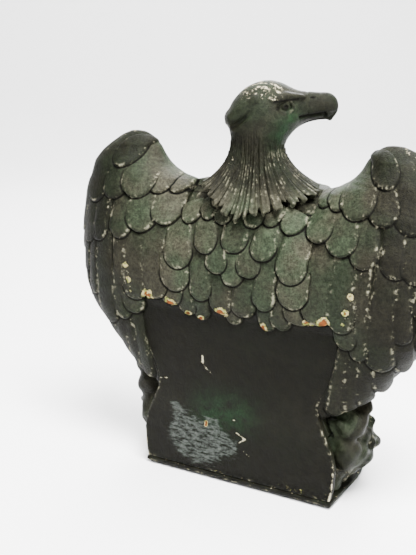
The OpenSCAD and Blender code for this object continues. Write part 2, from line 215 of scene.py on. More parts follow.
# Painted shade: grooves, recesses and the ground under overhangs are painted near black; on the panel, rock
# and plate the same value also darkens some plain patches.
groove = step_up(t, stored(t, "gap"), 0.1, 0.7)
colour = blend_colour(t, groove, colour, (0.0018, 0.0018, 0.0011, 1))
worn = step_up(t, maths(t, "ADD", mottle, maths(t, "MULTIPLY", speck, 0.6)), 0.84, 0.98)
rub = maths(t, "MULTIPLY", stored(t, "edge"), worn)
colour = blend_colour(t, maths(t, "MULTIPLY", rub, 0.75), colour, (0.17, 0.16, 0.11, 1))
fleck = maths(t, "MULTIPLY", noise(t, coords, 300, 5, 0.68), 0.8)
fleck = maths(t, "ADD", fleck, maths(t, "MULTIPLY", stored(t, "fleck"), 0.22))
fleck = step_up(t, fleck, 0.65, 0.69)
colour = blend_colour(t, fleck, colour, (0.31, 0.28, 0.19, 1))
ragged = maths(t, "MULTIPLY", maths(t, "SUBTRACT", noise(t, coords, 260, 4, 0.7), 0.5), 1.1)
ragged = maths(t, "ADD", stored(t, "chip"), ragged)
ring = step_up(t, ragged, 0.5, 0.56)
core = step_up(t, ragged, 0.74, 0.82)
rust = blend_colour(t, step_up(t, mottle, 0.4, 0.6), (0.13, 0.038, 0.010, 1), (0.06, 0.022, 0.008, 1))
ground = blend_colour(t, step_up(t, speck, 0.45, 0.6), (0.27, 0.23, 0.11, 1), (0.12, 0.14, 0.028, 1))
colour = blend_colour(t, ring, colour, ground)
colour = blend_colour(t, core, colour, rust)
wire(t, colour, made.inputs["Color"])
bare = maths(t, "MAXIMUM", ring, fleck)
rough = maths(t, "ADD", maths(t, "MULTIPLY", mottle, 0.35), 0.34)
rough = maths(t, "ADD", rough, maths(t, "MULTIPLY", bare, 0.25))
wire(t, maths(t, "ADD", rough, maths(t, "MULTIPLY", groove, 0.3), True), made.inputs["Roughness"])
height = maths(t, "ADD", maths(t, "MULTIPLY", grain, 0.5), maths(t, "MULTIPLY", mottle, 0.8))
height = maths(t, "SUBTRACT", height, maths(t, "MULTIPLY", bare, 0.5))
wire(t, height, made.inputs["Height"])


def painted(name, dark, green, grey, depth):
    material = bpy.data.materials.new(name)
    material.use_nodes = True
    tree = material.node_tree
    shader = tree.nodes["Principled BSDF"]
    finish = tree.nodes.new("ShaderNodeGroup")
    finish.node_tree = patina
    for label, value in (("Dark", dark), ("Green", green), ("Grey", grey)):
        finish.inputs[label].default_value = (*value, 1)
    bump = tree.nodes.new("ShaderNodeBump")
    bump.inputs["Strength"].default_value = 1
    bump.inputs["Distance"].default_value = depth
    wire(tree, finish.outputs["Color"], shader.inputs["Base Color"])
    wire(tree, finish.outputs["Roughness"], shader.inputs["Roughness"])
    wire(tree, finish.outputs["Height"], bump.inputs["Height"])
    wire(tree, bump.outputs["Normal"], shader.inputs["Normal"])
    shader.inputs["Specular IOR Level"].default_value = 0.05
    return material


feather_paint = painted("feather_paint", (0.0015, 0.0014, 0.0005), (0.021, 0.029, 0.016),
                        (0.029, 0.0275, 0.018), 0.0012)


# ------------------------------------------------------------------ wings and feathered back
# The two wings and the rear casting are cast metal about 5 to 18 mm thick, modelled in wax with one
# continuous coat of feathers, so the wing feathers lap over the seam and hide it. The wings are bolted
# from inside the body. The lower part of the rear casting is a plain flat panel.
# All sizes in this section are millimetres; s is the distance round the wing from the middle of the back.
def at(z, *pairs):
    return np.interp(z, pairs[0::2], pairs[1::2])


def body_half(z):
    return at(z, 0, 77, 15, 79.6, 31, 80.6, 43, 78, 55, 73, 67, 67.5, 78, 67, 88, 71, 100, 77.5,
              108, 81.5, 124, 83.5, 140, 80, 160, 68, 185, 58, 205, 54, 226, 50)


def back_middle(z):
    return 40 + at(z, 132, 0, 142, 4, 160, 5, 182, 4, 198, 0, 212, -7, 226, -16)


def back_fall(z):
    return at(z, 176, 0, 198, 4, 212, 10, 226, 15)


def wing_inner(z):
    rise = at(z, 208, 53, 216, 51.6, 222, 52.4, 226, 55, 229, 59.5, 233, 66.5, 237, 72.5, 241, 77,
              247, 81, 253, 84, 259, 89, 262, 95)
    return np.where(z < 208, body_half(z), rise)


def wing_outer(z):
    edge = at(z, 66, 75, 70, 81, 78, 92, 91, 105, 104, 117, 117, 128.5, 130, 141, 143, 147, 156, 150,
              172, 152, 195, 152, 212, 151, 226, 148, 236, 144, 245, 137, 252, 128, 258, 119, 262, 110)
    return np.maximum(edge, body_half(z) + 4)


def wing_rim(z):
    return at(z, 66, 14, 120, 4, 160, -4, 200, -3, 235, 2, 262, 5)


def wing_back(z):
    return 40 + at(z, 66, -6, 100, -2, 130, 3, 160, 6, 190, 5, 215, 0, 235, -8, 250, -18, 262, -30)


def wing_thick(z):
    return at(z, 66, 7, 100, 12, 160, 15, 215, 18, 240, 18, 262, 8)


def wing_root(z):
    on_body = back_middle(z) - back_fall(z) * (body_half(z) / 50) ** 2
    climb = np.clip((z - 226) / 8, 0, 1)
    return np.where(z < 226, on_body, 9 + (wing_rim(z) - 9) * climb)


def smooth_step(low, high, v):
    k = np.clip((v - low) / (high - low), 0, 1)
    return k * k * (3 - 2 * k)


def round_max(a, b, r):
    k = np.clip(0.5 + 0.5 * (a - b) / r, 0, 1)
    return b + (a - b) * k + r * k * (1 - k)


def round_min(a, b, r):
    return -round_max(-a, -b, r)


def ball(a, b, c, middle, radii):
    k = np.sqrt(sum(((v - m) / r) ** 2 for v, m, r in zip((a, b, c), middle, radii)))
    return (k - 1) * min(radii)


def limb(a, b, c, start, end, r_start, r_end):
    line = [e - s for s, e in zip(start, end)]
    run = sum(v * v for v in line)
    t = np.clip(sum((v - s) * d for v, s, d in zip((a, b, c), start, line)) / run, 0, 1)
    far = sum((v - s - t * d) ** 2 for v, s, d in zip((a, b, c), start, line))
    return np.sqrt(far) - r_start - (r_end - r_start) * t


CHART = 0.5
CHART_S = np.arange(0, 250, CHART)[:, None]
CHART_Z = np.arange(56, 270, CHART)[None, :]


class Coat:
    """A coat of overlapping feathers, kept as maps of height, painted groove shade, rubbed edge, tone and
    owner.
    """

    def __init__(self):
        shape = (CHART_S.size, CHART_Z.size)
        self.height = np.zeros(shape)
        self.gap = np.zeros(shape)
        self.edge = np.zeros(shape)
        # The wing top and the outer primaries start dark; on the outer primaries that is partly dark paint
        # and partly painted shade where the wing turns away from the light.
        self.tone = np.where((CHART_Z > 228) | (CHART_S > 100), 0.12, np.where(CHART_Z > 141, 0.42, 0))
        self.owner = np.zeros(shape)

    def lay(self, s, z, half, length, lean, lift, tone, owner, point=1.15, crown=0.7):
        c = math.cos(math.radians(lean))
        k = -math.sin(math.radians(lean))
        along = (CHART_S - s) * k + (CHART_Z - z) * c
        across = (CHART_S - s) * c - (CHART_Z - z) * k
        cap = half * point
        oval = np.sqrt(((cap - along) / cap) ** 2 + (across / half) ** 2)
        side = half * (1 - 0.22 * np.clip((along - cap) / length, 0, 1)) - abs(across)
        inside = np.where(along < cap, (1 - oval) * half, side)
        fade = smooth_step(length, length - 7, along)
        cover = smooth_step(-0.4, 1.1, inside) * fade
        shape = lift * (1 - 0.75 * np.clip(along / length, 0, 1))
        shape = shape + crown * (1 - np.clip(across / half, -1, 1) ** 2)
        under = 0.2 + 0.8 * smooth_step(1.7 * cap, cap * 0.5, along)
        # A groove runs round each feather's tip and is painted dark as shade, most of all under the tip.
        groove = np.exp(-((inside + 0.6) / 0.65) ** 2) * fade * under
        self.height = (self.height - 0.5 * groove) * (1 - cover) + shape * cover
        self.gap = np.maximum(self.gap * (1 - cover), groove)
        self.edge = np.maximum(self.edge * (1 - cover), np.exp(-((inside - 1.3) / 0.9) ** 2) * fade)
        self.tone = self.tone * (1 - cover) + tone * cover
        self.owner = np.where(inside * (fade > 0.3) > 0, owner, self.owner)


def read(table, s, z):
    i = np.clip((s - CHART_S[0, 0]) / CHART, 0, CHART_S.size - 1.001)
    j = np.clip((z - CHART_Z[0, 0]) / CHART, 0, CHART_Z.size - 1.001)
    i, j = np.broadcast_arrays(i, j)
    a = i.astype(int)
    b = j.astype(int)
    u = i - a
    v = j - b
    low = table[a, b] * (1 - u) + table[a + 1, b] * u
    high = table[a, b + 1] * (1 - u) + table[a + 1, b + 1] * u
    return low * (1 - v) + high * v


def soften(table, passes):
    for _ in range(passes):
        table = (np.roll(table, 1, 0) + np.roll(table, -1, 0) + 2 * table) / 4
        table = (np.roll(table, 1, 1) + np.roll(table, -1, 1) + 2 * table) / 4
    return table


# The coat of one half, from the lowest layer to the top one: place of the tip round the wing and up,
# half width, length, lean of the tip outwards in degrees, thickness at the tip, tone.
coat = Coat()
WING, BACK = -1, 1
long_primaries = [(77, 70, 6, 75, -9), (88, 70, 6.5, 84, -8), (99, 76, 7, 86, -4), (112, 90, 8, 84, 0),
                  (126, 108, 8, 80, 2), (143, 124, 8, 80, 2), (157, 138, 8, 70, 2),
                  (171, 152, 8, 60, 2), (125, 134, 8, 70, 2), (139, 150, 8, 60, 2), (154, 165, 8, 55, 2)]
for s, z, half, length, lean in long_primaries:
    coat.lay(s, z, half, length, lean, 2.6, 0.12, WING)
for s, z, half, length, lean, tone, owner in [(110, 112, 8.5, 100, -3, 0.2, WING),
                                              (96, 118, 6, 76, -2, 0.3, WING),
                                              (86, 124, 8, 66, -1, 0.35, WING),
                                              (0, 128, 6.5, 28, 0, 0.4, BACK),
                                              (27, 127.5, 6.5, 28, 0, 0.5, BACK),
                                              (38, 129.5, 7, 28, -3, 0.45, BACK),
                                              (9, 135, 8.5, 30, -2, 0.5, BACK),
                                              (51, 136, 9.5, 30, -5, 0.55, BACK),
                                              (66, 138.5, 11.5, 52, -4, 0.5, WING),
                                              (83, 136, 9, 54, -2, 0.45, WING),
                                              (25, 143.5, 8, 34, -5, 0.7, BACK),
                                              (46, 148, 11, 32, -8, 0.75, BACK),
                                              (0, 158, 8, 30, 0, 0.7, BACK),
                                              (12, 165.5, 8, 28, -6, 0.7, BACK),
                                              (44, 165.5, 10.5, 36, -8, 0.8, BACK),
                                              (22, 179, 8.5, 28, -8, 0.8, BACK),
                                              (1, 182.5, 8.5, 26, 0, 0.75, BACK),
                                              (120, 178, 9, 50, 4, 0.2, WING),
                                              (134, 174.5, 9.5, 46, 2, 0.15, WING),
                                              (150, 180, 9, 46, 2, 0.12, WING),
                                              (98, 182.5, 9, 34, 3, 0.5, WING),
                                              (80, 188.5, 11, 32, 0, 0.7, WING),
                                              (60, 195, 10, 28, -6, 0.9, WING),
                                              (40, 198.5, 8.5, 24, -6, 0.9, BACK),
                                              (25, 202.5, 6.5, 20, -3, 0.7, BACK),
                                              (12, 200.5, 7, 16, -2, 0.6, BACK),
                                              (4, 209, 6, 14, 0, 0.6, BACK),
                                              (19, 211.5, 6.5, 14, 0, 0.6, BACK),
                                              (29, 218.5, 4.5, 12, 0, 0.6, BACK),
                                              (44, 216.5, 10, 20, -8, 0.8, BACK),
                                              (57, 217.5, 6.5, 22, -14, 0.8, WING),
                                              (70, 217, 8, 28, -10, 0.8, WING),
                                              (133, 207, 13, 46, 16, 0.2, WING),
                                              (109, 211, 11, 36, 8, 0.3, WING),
                                              (88, 213, 12, 42, 2, 0.6, WING),
                                              (106, 234, 15, 44, -2, 0.15, WING)]:
    coat.lay(s, z, half * 1.13, length, lean, 2.9, tone + 0.1 * math.sin(5 * s + z), owner, 1.05, 0.5)
bare = np.where(CHART_S < body_half(CHART_Z), BACK, WING)
coat.owner = soften(np.where(coat.owner == 0, bare, coat.owner), 2)
coat.height = soften(coat.height, 1)


def skin(name, low, high, step, field, marks, material):
    """Casts a closed skin where field(x, y, z) crosses zero, then stores the paint marks on it."""
    axes = [np.arange(a, b + step, step) for a, b in zip(low, high)]
    x, y, z = axes[0][:, None, None], axes[1][None, :, None], axes[2][None, None, :]
    full = np.broadcast_to(field(x, y, z), [len(a) for a in axes]).copy()
    full[[0, -1]] = full[:, [0, -1]] = full[:, :, [0, -1]] = 9
    solid = full < 0
    corners = [(i, j, k) for i in (0, 1) for j in (0, 1) for k in (0, 1)]
    cut = [slice(0, -1), slice(1, None)]
    count = sum(solid[cut[i], cut[j], cut[k]].astype(np.int8) for i, j, k in corners)
    mixed = (count > 0) & (count < 8)
    number = np.full(mixed.shape, -1, np.int32)
    number[mixed] = np.arange(mixed.sum())
    cells = np.argwhere(mixed)
    value = {c: full[cut[c[0]], cut[c[1]], cut[c[2]]][mixed] for c in corners}
    place = np.zeros((len(cells), 3))
    hits = np.zeros(len(cells))
    for a in corners:
        for axis in range(3):
            if a[axis]:
                continue
            b = tuple(1 if n == axis else a[n] for n in range(3))
            crosses = (value[a] < 0) != (value[b] < 0)
            part = np.where(crosses, value[a] / np.where(crosses, value[a] - value[b], 1), 0)
            for n in range(3):
                place[:, n] += np.where(crosses, part if n == axis else a[n], 0)
            hits += crosses
    verts = np.array([a[0] for a in axes]) + (cells + place / hits[:, None]) * step
    quads = []
    for axis in range(3):
        one, two = [n for n in range(3) if n != axis]
        here = [slice(1, -1)] * 3
        there = [slice(1, -1)] * 3
        here[axis] = slice(0, -1)
        there[axis] = slice(1, None)
        flips = solid[tuple(here)] != solid[tuple(there)]
        edges = np.argwhere(flips)
        for n in (one, two):
            edges[:, n] += 1
        ring = []
        for d_one, d_two in ((-1, -1), (0, -1), (0, 0), (-1, 0)):
            cell = edges.copy()
            cell[:, one] += d_one
            cell[:, two] += d_two
            ring.append(number[cell[:, 0], cell[:, 1], cell[:, 2]])
        ring = np.stack(ring, 1)
        outward = solid[edges[:, 0], edges[:, 1], edges[:, 2]] == (axis != 1)
        quads.append(np.where(outward[:, None], ring, ring[:, ::-1]))
    quads = np.concatenate(quads)
    mesh = bpy.data.meshes.new(name)
    mesh.vertices.add(len(verts))
    mesh.vertices.foreach_set("co", (verts * MM).ravel())
    mesh.loops.add(quads.size)
    mesh.loops.foreach_set("vertex_index", quads.ravel().astype(np.int32))
    mesh.polygons.add(len(quads))
    mesh.polygons.foreach_set("loop_start", np.arange(0, quads.size, 4, dtype=np.int32))
    mesh.polygons.foreach_set("use_smooth", np.ones(len(quads), bool))
    mesh.update(calc_edges=True)
    for label, value in marks(*verts.T).items():
        layer = mesh.attributes.new(label, "FLOAT", "POINT")
        layer.data.foreach_set("value", np.broadcast_to(value, len(verts)).astype(np.float32).ravel())
    mesh.materials.append(material)
    piece = bpy.data.objects.new(name, mesh)
    bpy.context.scene.collection.objects.link(piece)
    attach(piece, "root")
    print(name, len(verts), "points", len(quads), "faces")
    return piece


def round_wing(x, y, z):
    """Distance round the wing from the middle of the back."""
    x = abs(x)
    start = wing_outer(z) - 42
    return np.where(x > start, start + 42 * np.arctan2(x - start, y - 2), x)


def back_height(x, z):
    """How far back the bare surface stands, without feathers."""
    x = abs(x)
    t = (x - wing_inner(z)) / (wing_outer(z) - wing_inner(z))
    k = np.clip(t, 0, 1)
    wing = wing_rim(z) + (wing_back(z) - wing_rim(z)) * np.sqrt(1 - k ** 4)
    wing = wing - (wing_back(z) - wing_root(z)) * (1 - k) ** 4
    return np.where(t > 0, wing, back_middle(z) - back_fall(z) * (x / 50) ** 2)


def spots(x, y, z, list_of_spots):
    total = 0
    for a, b, c, r in list_of_spots:
        total = total + np.exp(-((x - a) ** 2 + (y - b) ** 2 + (z - c) ** 2) / (r * r))
    return total


# Rust shows where feather tips were knocked, and cream flecks lie along the top rims.
tip_chips = [(72, 46, 141.5, 6.5), (52, 45, 138.5, 6), (9, 45, 136.5, 6.5), (38, 44, 131, 3.6),
             (27, 43, 129, 3), (88, 46, 152, 3.4), (91, 46, 163, 3.6), (86, 45, 143, 3),
             (-24, 44, 130, 5), (-61, 46, 139, 6)]
rim_flecks = [(98, 8, 262, 9), (112, 10, 258, 9), (125, 14, 252, 8), (-98, 8, 262, 9),
              (-112, 10, 258, 9), (90, 47, 150, 12), (98, 46, 182, 9)]


def coat_marks(x, y, z):
    s = round_wing(x, y, z)
    behind = smooth_step(-6, 4, y - back_height(x, z) + 6)
    shown = np.maximum(behind, 0.55)
    # Painted shade: the outer wing is painted darker where it turns away from the light, besides being
    # darker paint.
    outer = 1 - 0.7 * smooth_step(80, 115, s)
    return {"gap": read(coat.gap, s, z) * shown, "edge": read(coat.edge, s, z) * shown,
            "pale": read(coat.tone, s, z) * behind * outer + 0.2 * (1 - behind),
            "chip": spots(x, y, z, tip_chips), "fleck": 0.9 * np.minimum(1, spots(x, y, z, rim_flecks))}


def outer_form(x, y, z, deeper, narrower):
    """Zero on the swelling outside of a wing; deeper and narrower give its hollow front."""
    inner, outer = wing_inner(z), wing_outer(z) - narrower
    t = np.clip((abs(x) - inner) / (outer - inner), 0, None)
    dip = (wing_back(z) - wing_root(z)) * np.clip(1 - t, 0, 1) ** 4
    rise = np.maximum(0, y + dip + deeper - wing_rim(z)) / (wing_back(z) - wing_rim(z))
    form = rise ** 2 + t ** 4 - 1
    slope = np.sqrt(sum(g ** 2 for g in np.gradient(form, STEP)))
    return form / np.maximum(slope, 0.012)


STEP = 0.9


def wing_field(x, y, z):
    s = round_wing(x, y, z)
    relief = read(coat.height, s, z)
    outside = outer_form(x, y, z, 0, 0)
    hollow = outer_form(x, y, z, wing_thick(z), 5)
    behind = smooth_step(-12, -4, outside)
    form = round_max(outside - relief * behind, -hollow - 0.6 * relief, 3)
    for bolt_z in (150, 178):
        boss = limb(abs(x), y, z, (50, 33, bolt_z), (body_half(bolt_z) + 14, 33, bolt_z), 6, 5)
        form = round_min(form, boss, 3)
    form = round_max(form, wing_rim(z) - y, 4)
    top = z - at(abs(x), 50, 226, 64, 231, 72, 236, 77, 241, 81, 247, 84, 253, 89, 259, 97, 262,
                 110, 262, 119, 258, 128, 252, 137, 245, 145, 236)
    form = round_max(form, top * 0.7, 6)
    form = round_max(form, 66 + 0.5 * (abs(x) - 70) - z, 5)
    surface = back_height(x, z)
    seam = np.where(y > surface - 1.5, read(coat.owner, s, z) * 3 + 0.1, body_half(z) + 0.3 - abs(x))
    return np.maximum(form, np.where(z < 228, seam, -9))


for name, side in (("left_wing", 1), ("right_wing", -1)):
    piece = skin(name + "_cast", (48, -12, 58), (160, 54, 268), STEP, wing_field, coat_marks, feather_paint)
    if side < 0:
        points = np.empty(len(piece.data.vertices) * 3)
        piece.data.vertices.foreach_get("co", points)
        points = points.reshape(-1, 3)
        points[:, 0] *= -1
        piece.data.vertices.foreach_set("co", points.ravel())
        piece.data.flip_normals()
    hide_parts(name)


# The panel carries its own history: a broad grey scuff with an orange spot of primer, fresher green
# above it, white flakes with hair scratches, and a chipped band along the bottom edge, darker towards the
# edge.
def scratch(x, z, ax, az, bx, bz, width):
    k = np.clip(((x - ax) * (bx - ax) + (z - az) * (bz - az)) / ((bx - ax) ** 2 + (bz - az) ** 2), 0, 1)
    return np.exp(-((x - ax - k * (bx - ax)) ** 2 + (z - az - k * (bz - az)) ** 2) / (width * width))


panel_scratches = [(27.5, 99, 27, 95, 1.1), (27.8, 94.5, 24.5, 90, 0.45), (24.5, 90, 18.8, 86, 0.4),
                   (-1.4, 43.6, -9.2, 39.7, 0.8), (-9.2, 39.7, -3.7, 35.4, 0.6),
                   (-7, 30.4, -13, 26.6, 0.4), (65.8, 74.7, 59.4, 75.5, 0.4), (-0.4, 53, 0.6, 53, 0.7)]
scuff_blobs = [(31, 32, 17), (44, 38, 12), (36, 20, 11), (47, 28, 10), (14, 33, 12), (22, 24, 11),
               (3, 30, 7), (47, 50, 6), (19, 46, 6), (52, 56, 4)]


def panel_marks(x, y, z):
    marks = coat_marks(x, y, z)
    panel = smooth_step(131, 126, z) * (y > 39)
    lines = sum(scratch(x, z, *line) for line in panel_scratches)
    scuffed = np.minimum(1, sum(scratch(x, z, a, c, a + 1, c, r) for a, c, r in scuff_blobs))
    side = smooth_step(body_half(z) - 2.2, body_half(z) - 0.6, abs(x))
    # The bottom band is darker, unevenly, towards the panel's bottom edge.
    band = smooth_step(13, 9, z + 0.03 * x)
    uneven_darkening = 0.35 + 0.4 * np.sin(x * 0.9) * np.sin(x * 0.37 + z)
    marks["gap"] = marks["gap"] * (1 - panel) + panel * band * uneven_darkening
    marks["pale"] = marks["pale"] * (1 - panel) + panel * (0.06 * np.exp(-((z - 58) / 14) ** 2) - 0.03)
    marks["edge"] = marks["edge"] * (1 - panel) + panel * (side + smooth_step(8.5, 7, z))
    bare = 1.9 * lines + 1.3 * side * smooth_step(50, 25, z) + 0.45 * band
    marks["fleck"] = marks["fleck"] + panel * bare
    marks["chip"] = marks["chip"] + panel * (1.1 * scratch(x, z, 24.5, 43.6, 24.2, 46.2, 1.6) + 0.35 * band)
    marks["moss"] = panel * scratch(x, z, 18, 56, -2, 58, 15) * 0.75
    marks["scuff"] = panel * scuffed * 0.68
    return marks


def back_field(x, y, z):
    s = abs(x) + 0 * z
    surface = back_height(x, z)
    relief = read(coat.height, s, z) * smooth_step(118, 121, z)
    slope = 1 / np.sqrt(1 + (np.gradient(surface[:, 0, :], STEP, axis=1) ** 2))[:, None, :]
    form = (y - surface) * slope - relief
    form = np.maximum(form, (surface - 6 - y) * slope)
    form = round_max(form, z - 226 - 0 * y, 2)
    form = round_max(form, 6.5 - z, 0.6)
    seam = np.where(y > surface - 1.5, -read(coat.owner, s, z) * 3 + 0.1, abs(x) - body_half(z) + 0.1)
    edge = round_max(form, abs(x) - body_half(z), 1.2)
    return np.where(z < 122, edge, np.maximum(form, seam))


piece = skin("back_casting_cast", (-86, 26, 4), (86, 54, 230), STEP, back_field, panel_marks, feather_paint)
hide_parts("back_casting")


# ------------------------------------------------------------------ breast, belly and thighs
# One deep open casting, closed from behind by the flat panel. Small scale feathers run in staggered
# rows over the breast and down the thighs, as on the usual cast eagle.
def chest(z):
    return -44 * at(z, 52, 0.3, 68, 0.4, 90, 0.6, 118, 0.9, 145, 1, 180, 0.96, 205, 0.78, 226, 0.58)


scales = Coat()
dice = np.random.default_rng(3)
for row in range(18):
    for n in range(10):
        scales.lay((n + 0.5 * (row % 2)) * 11.5, 56 + row * 9.6, 6.6, 19, dice.uniform(-5, 5), 1.9,
                   dice.uniform(0.25, 0.8), BACK)
scales.height = soften(scales.height, 1)


def round_breast(x, y, z):
    return 62 * np.arctan2(abs(x), 12 - y) + 0 * z


def breast_marks(x, y, z):
    s = round_breast(x, y, z)
    # Painted shade in the grooves under the rows of scale feathers.
    return {"gap": read(scales.gap, s, z), "edge": read(scales.edge, s, z),
            "pale": read(scales.tone, s, z) * 0.8,
            "fleck": 0.3 * smooth_step(90, 60, z)}


def breast_field(x, y, z):
    rim = back_middle(z) - back_fall(z) * (body_half(z) / 50) ** 2 - 6.2
    half = body_half(z)
    u = abs(x) / half
    v = np.maximum(0, rim - y) / (rim - chest(z))
    form = (u ** 2.5 + v ** 2.5) ** 0.4 - 1
    form = form * np.minimum(half, rim - chest(z)) * 0.9
    down = np.clip((116 - z) / 44, 0, 1)
    thigh = np.sqrt((abs(x) - 32) ** 2 + (y + 20 + 10 * down) ** 2 + np.maximum(0, z - 116) ** 2)
    thigh = thigh - 21 + 10.5 * down
    form = round_min(form, thigh, 9)
    form = form - read(scales.height, round_breast(x, y, z), z)
    form = np.maximum(form, y - rim)
    return round_max(round_max(form, z - 226, 2), np.where(y < -16, 68.6, 53.4) - z, 1)


piece = skin("front_casting_cast", (-86, -50, 50), (86, 42, 229), 1.1, breast_field, breast_marks,
             feather_paint)
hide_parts("front_casting")


# ------------------------------------------------------------------ head and neck
# A hollow casting held down by the tie rod. Long pointed hackles run from the nape to a ragged skirt
# that laps over the shoulders, with a deep shadow under it that is also painted on; the head is turned to
# the eagle's right.
# Measured along the beak (a), sideways from it (b) and up (z).
beak_x, beak_y = -math.sin(math.radians(60)), -math.cos(math.radians(60))
NECK_RADIUS = 18.6
SKIRT_TURN = (-1, 0, 40, 65, 82, 95, 115, 150, 170, 182, 215, 270, 320, 361)
SKIRT_RADIUS = (39, 39, 40, 41, 42, 43, 46, 49, 50, 50, 48, 46, 41, 39)
SKIRT_FOOT = (226, 226, 226, 221, 212, 207, 212, 219, 223, 225, 224, 218, 224, 226)


def eased(v, width, *pairs):
    """The same as at, with its corners rounded off over the width given."""
    return sum(at(v + width * n / 2, *pairs) for n in (-2, -1, 0, 1, 2)) / 5


def locks(angle, count, z, seed):
    """Long uneven strands: -1 in the groove between two strands, 1 along the middle of one."""
    wander = 2.2 * np.sin(np.radians(angle * 3 + seed))
    wander = wander + 1.3 * np.sin(np.radians(angle * 7 + 3 * seed) + z * 0.02)
    return np.cos(np.radians(count * angle + 40 * wander + 0.5 * (z - 230)))


def neck_place(x, y, z):
    """Angle round the neck, distance out of it, radius of the neck there, and the skirt's ragged foot."""
    angle = np.degrees(np.arctan2(y - 6, x - 1.5)) % 360 + 0 * z
    foot = np.interp(angle, SKIRT_TURN, SKIRT_FOOT)
    climb = np.clip((z - foot) / (259 - foot), 0, 1)
    spread = np.interp(angle, SKIRT_TURN, SKIRT_RADIUS)
    radius = NECK_RADIUS + (spread - NECK_RADIUS) * (1 - climb) ** 2.3
    radius = radius - 0.7 * np.maximum(0, foot - z) - 0.05 * np.maximum(0, z - 262) ** 2
    ragged = foot - 2.2 * locks(angle, 31, 214, 20) - 1.3 * locks(angle, 67, 214, 70)
    ragged = ragged - 0.8 * locks(angle, 11, 214, 50)
    return angle, np.sqrt((x - 1.5) ** 2 + (y - 6) ** 2), radius, ragged


def neck_relief(angle, z, ragged):
    deep = smooth_step(272, 246, z)
    broad = locks(angle, 31, z, 20) * (0.6 + 0.4 * locks(angle, 5, z, 90))
    fine = locks(angle, 67, z, 70)
    hair = locks(angle, 113, z, 130) * (0.6 + 0.4 * locks(angle, 9, z, 10))
    return deep * (0.75 * broad + 0.55 * fine) + 0.3 * fine + 0.35 * hair


def along_beak(x, y):
    return x * beak_x + (y - 5) * beak_y, abs(x * beak_y - (y - 5) * beak_x)


def head_form(x, y, z):
    a, b = along_beak(x, y)
    a, b = a + 0 * z, b + 0 * z
    ease = np.where(a > 40, 1, 3)
    top = eased(a, ease, -25, 271, -24, 276, -22, 282, -17, 289, -12, 294, -7, 297, 0, 299.6, 6, 300.4,
                12, 299.6, 18, 297.4, 23, 294.6, 28, 292.8, 34, 292.3, 40, 292, 45, 291.4, 48, 289,
                51, 284)
    low = eased(a, ease, -25, 271, -22, 267, -19, 260, -12, 250, 12, 250, 19, 257.5, 22, 262, 26, 266.3,
                32, 269.8, 37, 271.4, 44, 272.6, 48, 274, 51, 280)
    half = eased(a, 2, -26, 3, -22, 11.5, -17, 15.5, -8, 19, 2, 20, 10, 18.8, 17, 15.6, 24, 12.3,
                 30, 9.4, 36, 7.8, 44, 6.8, 48, 4.5, 51, 1)
    middle, tall, half = (top + low) / 2, np.maximum(0.4, (top - low) / 2), np.maximum(0.4, half)
    form = (abs((z - middle) / tall) ** 2.3 + (b / half) ** 2.3) ** (1 / 2.3) - 1
    form = np.maximum(form * np.minimum(tall, half), abs(a - 13) - 38)
    form = round_min(form, ball(a, b, z, (46.6, 0, 282.2), (9.4, 6.8, 9.6)), 1)
    form = round_min(form, limb(a, b, z, (51.2, 0, 279), (50.2, 0, 273.4), 3.4, 1.7), 1.5)
    crest = limb(a, b, z, (-20.5, 9, 274.5), (-4, 16.5, 288), 3, 2.2)
    crest = round_min(crest, limb(a, b, z, (-22, 0, 276), (-20.5, 9, 274.5), 2.6, 3), 1)
    form = round_min(form, crest, 4)
    form = round_max(form, -limb(a, b, z, (-20, 12, 267.5), (-4, 21, 281), 2.2, 1.2), 2)
    socket = ball(a, b, z, (18, 18, 282.6), (7, 5.4, 4.6))
    form = round_max(form, -socket, 1.5)
    brow = limb(a, b, z, (7, 16, 287), (18, 13.4, 289.6), 1.6, 3)
    brow = round_min(brow, limb(a, b, z, (18, 13.4, 289.6), (29, 8.8, 289.2), 3, 1.5), 1)
    form = round_min(form, brow, 3)
    form = round_min(form, ball(a, b, z, (17.2, 12.4, 282.4), (3.7, 3, 3.4)), 0.4)
    almond = np.sqrt(((a - 17.2) / 1.35) ** 2 + (z - 282.4) ** 2)
    lid = np.sqrt((almond - 4.1) ** 2 + (b - 14) ** 2) - 0.85
    form = round_min(form, lid, 0.8)
    form = np.maximum(form, 1.3 - np.sqrt((a - 17.6) ** 2 + (z - 282.6) ** 2 + (b - 15.4) ** 2))
    cheek = limb(a, b, z, (12, 13, 272), (24, 9, 274), 4, 2.5)
    form = round_min(form, cheek, 3)
    line = z - 275.6 - 0.15 * (a - 30)
    mouth = np.maximum(np.maximum(abs(line) - 0.7, 27 - a), half - 2.8 - b)
    form = round_max(form, -np.maximum(mouth, a - 46.2), 0.8)
    nick = np.maximum(limb(a, 0 * b, z, (46, 0, 277.8), (46.9, 0, 270.4), 0.5, 0.6), 3.2 - b)
    form = round_max(form, -nick, 0.6)
    step = at(a, 24, 0, 30, 0.7, 50, 0.7) * smooth_step(0.3, -0.6, line) * (b > 2)
    cere = np.exp(-((a - 33.5) / 0.7) ** 2) * (z > 277) * 0.5
    nostril = ball(a, b, z, (37, 7.2, 288.4), (2, 1.6, 0.8))
    return np.maximum(form + step + cere, -nostril)


def seat(x, y, z):
    """A plate under the skirt that closes the top of the body."""
    front = np.maximum(0, 2 - y) / 27
    form = (((abs(x) / 48) ** 2.5 + front ** 2.5) ** 0.4 - 1) * 25
    form = round_max(form, y - 21.5 + 15 * (x / 50) ** 2, 1)
    return round_max(form, abs(z - 223.6) - 1.9, 1.2)


